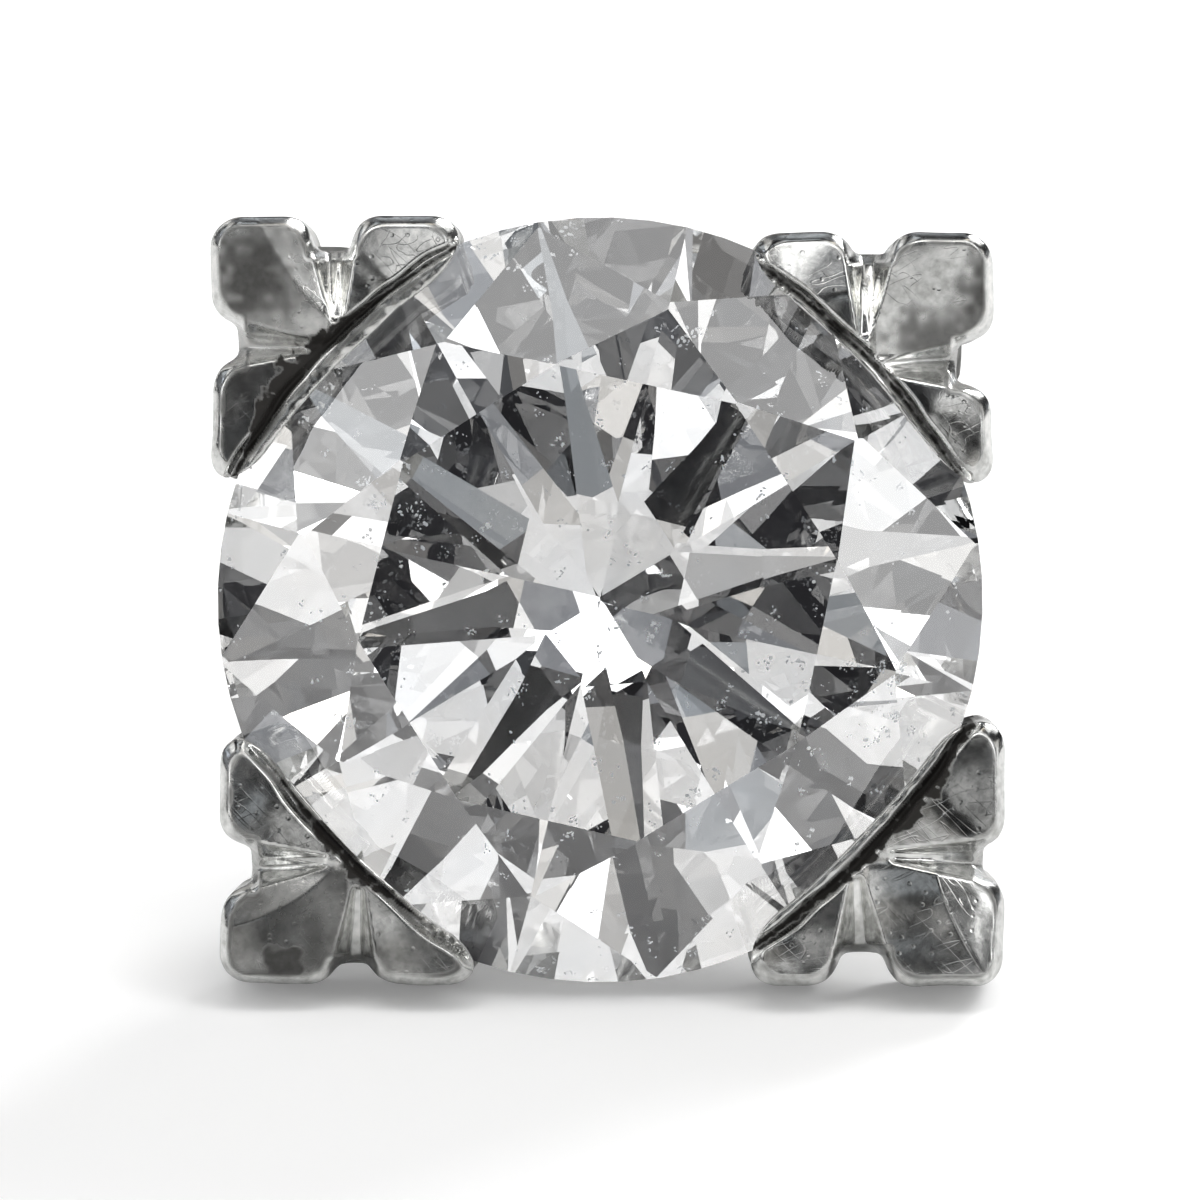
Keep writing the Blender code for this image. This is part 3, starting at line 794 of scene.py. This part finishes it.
def claw_dirt_and_shade(claw, x, y, z):
    """Dirt and painted shade behind the lip and in the flutes' mouths, painted shade down the walls and along
    the outer bands, then tarnish with painted shade on lobes and lip, and stains that also paint shade.
    """
    distance = -claw.outline(x, y)
    drop = claw.drop(x, y)
    behind = claw.inner_distance(x, y) - claw.lip_width(x, y)
    line = lip_line_dirt_and_shade(claw, x, y, behind)
    # Painted shade, darker down the walls
    low = np.clip((CLAW_HEIGHT - WALL_SHADE_TOP - z) / WALL_SHADE_FADE, 0, 1) * WALL_SHADE
    flat = smooth_step((distance - 0.8 * SIDE_BAND) / FLAT_FADE) * (1 - smooth_step(drop / FLAT_DROP))
    flat = flat * smooth_step((behind - LIP_GROOVE_WIDTH) / FLAT_FADE)
    # Tarnish and painted shade on the lobes, standing in for the darker reflections they would catch
    tarnish_and_shade = sum(share * amount for share, amount in zip(claw.lobe_shares(x, y), claw.row["tarnish_and_shade"]))
    tarnish_and_shade = tarnish_and_shade * (1 + waver("tarnish_and_shade", x, y)) * flat
    tarnish_and_shade = np.maximum(tarnish_and_shade, LIP_TARNISH_AND_SHADE * (1 - smooth_step(behind / LIP_TARNISH_AND_SHADE_FADE)))
    # Stains, which also paint shade
    spot = flat * stains_and_shade(claw, x, y)
    high = z > CLAW_HEIGHT - RIM_DEPTH
    tarnish_and_shade = np.maximum(np.where(high, tarnish_and_shade, WALL_TARNISH), spot)
    # Painted shade along the rim
    patchy = np.clip(RIM_LEVEL + waver("rim_shade", x, y), 0, 1)
    rim = RIM_SHADE * patchy * np.exp(-(((distance - SIDE_BAND) / RIM_SHADE_WIDTH) ** 2))
    # Dirt and painted shade in the flutes' mouths
    inward = np.minimum(claw.reach[0] - x, claw.reach[1] - y)
    mouth = smooth_step(1 - inward / MOUTH_REACH) * smooth_step(drop / MOUTH_DROP)
    mouth = MOUTH_DIRT_AND_SHADE * mouth * np.clip(MOUTH_LEVEL + waver("mouth_dirt_and_shade", x, y), 0, 1)
    return np.maximum.reduce([line, low, 0.5 * spot, np.where(high, rim, 0), mouth]), tarnish_and_shade


def leg_distance(row, x, y, z):
    share = np.clip((LEG_TOP - z) / (LEG_TOP - LEG_BOTTOM), 0, 1)
    middle_x, middle_y, half = leg_section(row, share)
    return np.maximum(box_distance(x - middle_x, y - middle_y, half, half, LEG_ROUNDING), LEG_BOTTOM - z)


def crease_shade(claw, row, x, y, z):
    """Painted shade where two of the soldered pieces meet, which is where a point is near to both."""
    radius = np.hypot(x, y)
    ring_r, ring_z = radius - GALLERY_INNER - GALLERY_WIDTH / 2, z + GALLERY_DROP
    base_z, base_half = z - (BASE_TOP + BASE_BACK) / 2, (BASE_TOP - BASE_BACK) / 2
    gaps = np.stack([
        np.maximum(claw.outline(x, y), CLAW_BACK - z),
        leg_distance(row, x, y, z),
        box_distance(ring_r, ring_z, GALLERY_WIDTH / 2, GALLERY_HEIGHT / 2, GALLERY_ROUNDING),
        box_distance(radius, base_z, BASE_RADIUS, base_half, BASE_ROUNDING),
        np.maximum(radius - POST_RADIUS, z - BASE_BACK),
    ])
    second = np.sort(np.abs(gaps), axis=0)[1]
    span, span_z = CREASE_SPANS
    reach = CREASE_REACH * (1 + 0.5 * hash_noise(x / span, y / span + z / span_z, CREASE_NUMBER))
    return CREASE_SHADE * np.exp(-(second / reach) ** 2)


def mark_dirt_and_shade(made):
    """Marks where dirt, tarnish and painted shade lie on the setting."""
    points = stud_points(made)
    dirt_and_shade = np.zeros(len(points))
    tarnish_and_shade = np.zeros(len(points))
    for _, row, claw in all_claws():
        x = points[:, 0] * row["signs"][0]
        y = points[:, 1] * row["signs"][1]
        corner = (x > 0) & (y > 0)
        x, y, z = x[corner], y[corner], points[corner, 2]
        plate = z > CLAW_BACK - 0.01
        on_claw, dull = claw_dirt_and_shade(claw, x, y, z)
        crease = np.where(z < CLAW_BACK + 0.1, crease_shade(claw, row, x, y, z), 0)
        dirt_and_shade[corner] = np.maximum(np.where(plate, on_claw, BASKET_GRIME), crease)
        tarnish_and_shade[corner] = np.where(plate, dull, BASKET_TARNISH)
    for name, values in (("dirt_and_shade", dirt_and_shade), ("tarnish_and_shade", tarnish_and_shade)):
        layer = made.data.attributes.new(name, "FLOAT", "POINT")
        layer.data.foreach_set("value", values.astype(np.float32))


def build_setting():
    pieces = [claw_plate(*each) for each in all_claws()]
    pieces += [leg(name, row) for name, row in CLAWS.items()]
    pieces += [gallery()]
    body = base_and_post()
    combine(body, "UNION", pieces)
    combine(body, "DIFFERENCE", [seat_cutter()])
    body.name = "setting_metal"
    body.data.shade_smooth()
    body.data.set_sharp_from_angle(angle=math.radians(SHARP_EDGE_DEG))
    body.data.materials.clear()
    body.data.materials.append(white_metal())
    mark_dirt_and_shade(body)
    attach(body, "root")
    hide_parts("setting")


# Stone


def build_stone():
    """The stone, ground again by hand: each facet keeps its place but leans a little from its true angle."""
    rng = random.Random(STONE_SEED)
    bm = bmesh.new()
    bm.from_mesh(frame["nodes"]["stone"].data)
    bm.transform(PLACE.inverted())
    bm.transform(Matrix.Scale(1 / MM, 4))
    bmesh.ops.remove_doubles(bm, verts=bm.verts, dist=STONE_WELD)
    bmesh.ops.dissolve_limit(bm, angle_limit=math.radians(FLAT_DEG), verts=bm.verts, edges=bm.edges)
    bm.normal_update()
    facets = [(face.calc_center_median(), face.normal.copy(), face.calc_area()) for face in bm.faces]
    for centre, normal, area in facets:
        if abs(normal.z) < GIRDLE_SLOPE or area > TABLE_AREA:
            continue
        size = min(1.0, math.sqrt(area))
        lean = Vector([rng.uniform(-1, 1) for _ in range(3)]) * math.radians(FACET_LEAN_DEG)
        tilted = (normal + lean).normalized()
        cut = bmesh.ops.bisect_plane(
            bm, geom=bm.verts[:] + bm.edges[:] + bm.faces[:], dist=1e-5,
            plane_co=centre - tilted * (FACET_TRIM * size), plane_no=tilted, clear_outer=True,
        )
        rim = [e for e in cut["geom_cut"] if isinstance(e, bmesh.types.BMEdge) and e.is_boundary]
        if rim:
            bmesh.ops.contextual_create(bm, geom=rim)
    made = make_object("brilliant", bm)
    made.data.shade_flat()
    made.data.materials.append(clear_stone())
    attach(made, "root")
    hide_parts("stone")


def build_inclusions():
    """Tiny white crystals inside the stone, scattered, with one frosty cluster at the lower right."""
    rng = random.Random(INCLUSION_SEED)
    bm = bmesh.new()
    places = []
    for _ in range(CLUMPS):
        radius = CLUMP_REACH * math.sqrt(rng.random())
        angle = rng.uniform(0, 2 * math.pi)
        depth = rng.uniform(*(INNER_DEPTHS if radius < INNER_REACH else OUTER_DEPTHS))
        places.append((radius * math.cos(angle), radius * math.sin(angle), depth))
    for _ in range(CLUSTER_CLUMPS):
        x, y = (rng.gauss(middle, spread) for middle, spread in zip(CLUSTER_PLACE, CLUSTER_SPREAD))
        places.append((x, y, rng.uniform(*CLUSTER_DEPTHS)))
    grains = []
    for place in places:
        size = rng.uniform(*GRAIN_SIZES)
        for _ in range(rng.randint(*GRAINS_IN_CLUMP)):
            x, y, z = (c + rng.gauss(0, CLUMP_SPREAD) for c in place)
            grains.append((x, y, z, size * rng.uniform(*GRAIN_VARIATION)))
    for x, y, z, size in grains:
        made = bmesh.ops.create_icosphere(bm, subdivisions=1, radius=1)
        turn = Matrix.Rotation(rng.uniform(*GRAIN_TURNS), 4, "X")
        turn = turn @ Matrix.Rotation(rng.uniform(*GRAIN_TURNS), 4, "Y")
        long = size * rng.uniform(*GRAIN_LENGTHS)
        thick = size * rng.uniform(*GRAIN_THICKNESSES)
        matrix = Matrix.Translation((x, y, z)) @ turn @ Matrix.Diagonal((long, size, thick, 1))
        bmesh.ops.transform(bm, verts=made["verts"], matrix=matrix)
    made = make_object("inclusions", bm)
    made.data.materials.append(inclusion_crystal())
    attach(made, "root")


# Materials


def material(name):
    """A new material, its node tree and its shader."""
    made = bpy.data.materials.new(name)
    made.use_nodes = True
    return made, made.node_tree, made.node_tree.nodes["Principled BSDF"]


def node(tree, kind, sockets=None, **settings):
    """A shader node with its settings. Each socket, by name or number, gets a link or a constant."""
    made = tree.nodes.new("ShaderNode" + kind)
    for name, value in settings.items():
        setattr(made, name, value)
    for socket, value in (sockets or {}).items():
        if isinstance(value, bpy.types.NodeSocket):
            tree.links.new(value, made.inputs[socket])
        else:
            made.inputs[socket].default_value = value
    return made


def maths(tree, operation, *values, clamp=False):
    """The result of a Math node."""
    return node(tree, "Math", dict(enumerate(values)), operation=operation, use_clamp=clamp).outputs[0]


def vector_maths(tree, operation, *values, output="Vector"):
    """The result of a Vector Math node."""
    return node(tree, "VectorMath", dict(enumerate(values)), operation=operation).outputs[output]


def noise(tree, place, scale, detail, roughness=0.5):
    sockets = {"Vector": place, "Scale": scale, "Detail": detail, "Roughness": roughness}
    return node(tree, "TexNoise", sockets).outputs["Fac"]


def rotated(tree, place, turn):
    return node(
        tree, "VectorRotate", {"Vector": place, "Rotation": turn}, rotation_type="EULER_XYZ"
    ).outputs["Vector"]


def mix(tree, share, first, second):
    """A colour between two others, by a share from 0 to 1."""
    return node(tree, "Mix", {"Factor": share, 6: first, 7: second}, data_type="RGBA").outputs[2]


def map_range(tree, value, from_low, from_high, to_low, to_high):
    ends = {"From Min": from_low, "From Max": from_high, "To Min": to_low, "To Max": to_high}
    return node(tree, "MapRange", {"Value": value, **ends}).outputs["Result"]


def ramp(tree, source, levels, interpolation="LINEAR", full=1):
    """Grey or coloured levels along a value that runs from 0 to full."""
    share = source if full == 1 else maths(tree, "DIVIDE", source, full)
    made = node(tree, "ValToRGB", {0: share})
    made.color_ramp.interpolation = interpolation
    stops = made.color_ramp.elements
    while len(stops) < len(levels):
        stops.new(1.0)
    for stop, (position, level) in zip(stops, levels):
        stop.position = position
        colour = level if isinstance(level, tuple) else (level,) * 3
        stop.color = (*colour, 1)
    return made.outputs["Color"]


def bump(tree, shader, height, strength, distance, invert=False):
    """Bumps the shader's surface by a height."""
    made = node(tree, "Bump", {"Height": height, "Strength": strength, "Distance": distance}, invert=invert)
    tree.links.new(made.outputs["Normal"], shader.inputs["Normal"])


def attribute(tree, name):
    return node(tree, "Attribute", attribute_name=name).outputs["Fac"]


def in_millimetres(tree):
    """The object's own places, in millimetres."""
    place = node(tree, "TexCoord").outputs["Object"]
    return node(tree, "Mapping", {"Vector": place, "Scale": (1 / MM,) * 3}).outputs["Vector"]


def scratches(tree, place, turn, shift):
    """Thin lines, from the middle contour of a noise stretched one way."""
    stretched = vector_maths(tree, "MULTIPLY_ADD", rotated(tree, place, turn), SCRATCH_STRETCH, (shift,) * 3)
    lines = ramp(tree, noise(tree, stretched, *SCRATCH_NOISE), SCRATCH_LEVELS)
    some = ramp(tree, noise(tree, place, *SCRATCHED_NOISE), SCRATCHED_LEVELS)
    return maths(tree, "MULTIPLY", lines, some)


def white_metal():
    """Worn white gold: polished, with fine scratches, pits, cloudy patches, dirt and painted shade in the
    recesses, and tarnish with painted shade.
    """
    made, tree, shader = material("white_metal")
    place = in_millimetres(tree)
    clouds = noise(tree, place, *METAL_CLOUDS)
    speckle = noise(tree, place, *METAL_SPECKLE)
    # This mask darkens the tone with tarnish and with painted shade
    tarnish_and_shade = attribute(tree, "tarnish_and_shade")
    tone = ramp(tree, maths(tree, "ADD", clouds, speckle), METAL_TONES, full=2)
    speckled = map_range(tree, speckle, *DIRT_AND_SHADE_BY_SPECKLE)
    # This mask darkens the metal with dirt and with painted shade
    dirt_and_shade_share = maths(tree, "MULTIPLY", attribute(tree, "dirt_and_shade"), speckled, clamp=True)
    colour = mix(tree, dirt_and_shade_share, mix(tree, tarnish_and_shade, tone, TARNISH_AND_SHADE_COLOUR), DIRT_AND_SHADE_COLOUR)
    tree.links.new(colour, shader.inputs["Base Color"])
    tree.links.new(map_range(tree, dirt_and_shade_share, *METALLIC_BY_DIRT_AND_SHADE), shader.inputs["Metallic"])
    rough = map_range(tree, clouds, *ROUGH_BY_CLOUDS)
    rough = maths(tree, "MULTIPLY_ADD", dirt_and_shade_share, DIRT_AND_SHADE_ROUGHNESS, rough, clamp=True)
    rough = maths(tree, "MULTIPLY_ADD", tarnish_and_shade, TARNISH_AND_SHADE_ROUGHNESS, rough, clamp=True)
    tree.links.new(rough, shader.inputs["Roughness"])
    relief = maths(tree, "ADD", *[scratches(tree, place, *each) for each in SCRATCHES])
    dots = node(tree, "TexVoronoi", {"Vector": place, "Scale": PIT_SCALE}).outputs["Distance"]
    relief = maths(tree, "MULTIPLY_ADD", ramp(tree, dots, PIT_LEVELS), PIT_DEPTH, relief)
    relief = maths(tree, "MULTIPLY_ADD", speckle, -SPECKLE_RELIEF, relief)
    bump(tree, shader, relief, *METAL_BUMP, invert=True)
    return made


def inclusion_crystal():
    """A frosty white crystal with a painted glow, so that it stays bright inside the stone."""
    made, tree, shader = material("inclusions")
    tone = ramp(tree, noise(tree, in_millimetres(tree), *CRYSTAL_CLOUDS), CRYSTAL_TINTS)
    tree.links.new(tone, shader.inputs["Base Color"])
    shader.inputs["Roughness"].default_value = CRYSTAL_ROUGHNESS
    # Painted glow, though the crystal is no lamp
    shader.inputs["Emission Color"].default_value = CRYSTAL_PAINTED_GLOW
    shader.inputs["Emission Strength"].default_value = CRYSTAL_PAINTED_GLOW_STRENGTH
    return made


def clear_stone():
    """A colourless stone with faint tints and the very slight waviness of its polish."""
    made, tree, shader = material("clear_stone")
    place = in_millimetres(tree)
    tree.links.new(ramp(tree, noise(tree, place, *STONE_CLOUDS), STONE_TINTS), shader.inputs["Base Color"])
    bump(tree, shader, noise(tree, place, *STONE_WAVES), *STONE_BUMP)
    shader.inputs["Transmission Weight"].default_value = 1
    shader.inputs["Roughness"].default_value = 0
    shader.inputs["IOR"].default_value = STONE_INDEX
    return made


def floor_finish():
    """White card, a little lighter to the camera than to the stone, so that its shadows stay pale."""
    made, tree, shader = material("pale_floor")
    shader.inputs["Base Color"].default_value = FLOOR_GREY
    shader.inputs["Roughness"].default_value = FLOOR_ROUGHNESS
    shader.inputs["Emission Color"].default_value = (1, 1, 1, 1)
    seen = node(tree, "LightPath").outputs["Is Camera Ray"]
    tree.links.new(maths(tree, "MULTIPLY", seen, FLOOR_LIFT), shader.inputs["Emission Strength"])
    return made


# Camera, stage and light


def look_along(azimuth_deg, elevation_deg):
    """The direction out of the scene's middle at an azimuth, from the front, and an elevation."""
    a = math.radians(azimuth_deg)
    e = math.radians(elevation_deg)
    return Vector((math.sin(a) * math.cos(e), -math.cos(a) * math.cos(e), math.sin(e)))


def build_camera():
    """Sets the camera up, and returns the direction from the stone to it."""
    face = PLACE.to_3x3() @ Vector((0, 0, 1))
    back = look_along(CAMERA_RIGHT_DEG, math.degrees(math.asin(face.z)) + CAMERA_ABOVE_DEG)
    data = bpy.data.cameras.new("camera")
    data.lens = LENS
    data.clip_start, data.clip_end = CAMERA_CLIP
    camera = bpy.data.objects.new("camera", data)
    bpy.context.scene.collection.objects.link(camera)
    camera.location = PLACE.translation + back * (FRAME_WIDTH * data.lens / data.sensor_width)
    camera.rotation_mode = "QUATERNION"
    camera.rotation_quaternion = (-back).to_track_quat("-Z", "Y")
    bpy.context.scene.camera = camera
    return back


def build_floor():
    bm = bmesh.new()
    bmesh.ops.create_circle(bm, cap_ends=True, segments=FLOOR_SIDES, radius=FLOOR_RADIUS)
    made = make_object("floor", bm, Matrix.Identity(4))
    made.data.materials.append(floor_finish())


def softbox(name, azimuth, elevation, width, height, brightness):
    """A rectangular light that faces the stone, from LIGHT_DISTANCE away."""
    data = bpy.data.lights.new(name, "AREA")
    data.shape = "RECTANGLE"
    data.size = width
    data.size_y = height
    data.energy = math.pi * width * height * brightness
    made = bpy.data.objects.new(name, data)
    bpy.context.scene.collection.objects.link(made)
    out = look_along(azimuth, elevation)
    made.location = PLACE.translation + out * LIGHT_DISTANCE
    made.rotation_mode = "QUATERNION"
    made.rotation_quaternion = out.to_track_quat("Z", "Y")


def build_world(camera_side):
    """Patches of light and dark all round, darker towards the camera, and plain white behind the stud."""
    world = bpy.data.worlds.new("studio")
    bpy.context.scene.world = world
    world.use_nodes = True
    tree = world.node_tree
    place = node(tree, "TexCoord").outputs["Generated"]
    angle = maths(tree, "ARCCOSINE", vector_maths(tree, "DOT_PRODUCT", place, camera_side, output="Value"))
    around = ramp(tree, angle, WORLD_LEVELS, full=math.pi)
    cells = vector_maths(tree, "SNAP", rotated(tree, place, PATCH_TURN), (PATCH_SIZE,) * 3)
    far = maths(tree, "GREATER_THAN", angle, PATCH_FAR_ANGLE)
    seed = maths(tree, "MULTIPLY_ADD", far, PATCH_FAR_SHIFT, PATCH_SEED)
    chance = node(tree, "TexWhiteNoise", {"Vector": cells, "W": seed}, noise_dimensions="4D").outputs["Value"]
    light = vector_maths(tree, "MULTIPLY", around, ramp(tree, chance, PATCH_LEVELS, "CONSTANT"))
    seen = node(tree, "LightPath").outputs["Is Camera Ray"]
    tree.links.new(mix(tree, seen, light, BACKDROP), tree.nodes["Background"].inputs["Color"])


def set_render_look():
    scene = bpy.context.scene
    scene.view_settings.view_transform = "Standard"
    scene.view_settings.look = "None"
    scene.view_settings.exposure = 0.0
    scene.cycles.max_bounces = BOUNCES
    scene.cycles.transmission_bounces = BOUNCES
    scene.cycles.glossy_bounces = BOUNCES


CAMERA_SIDE = build_camera()
build_setting()
build_stone()
build_inclusions()
build_floor()
build_world(CAMERA_SIDE)
for light in LIGHTS:
    softbox(*light)
set_render_look()
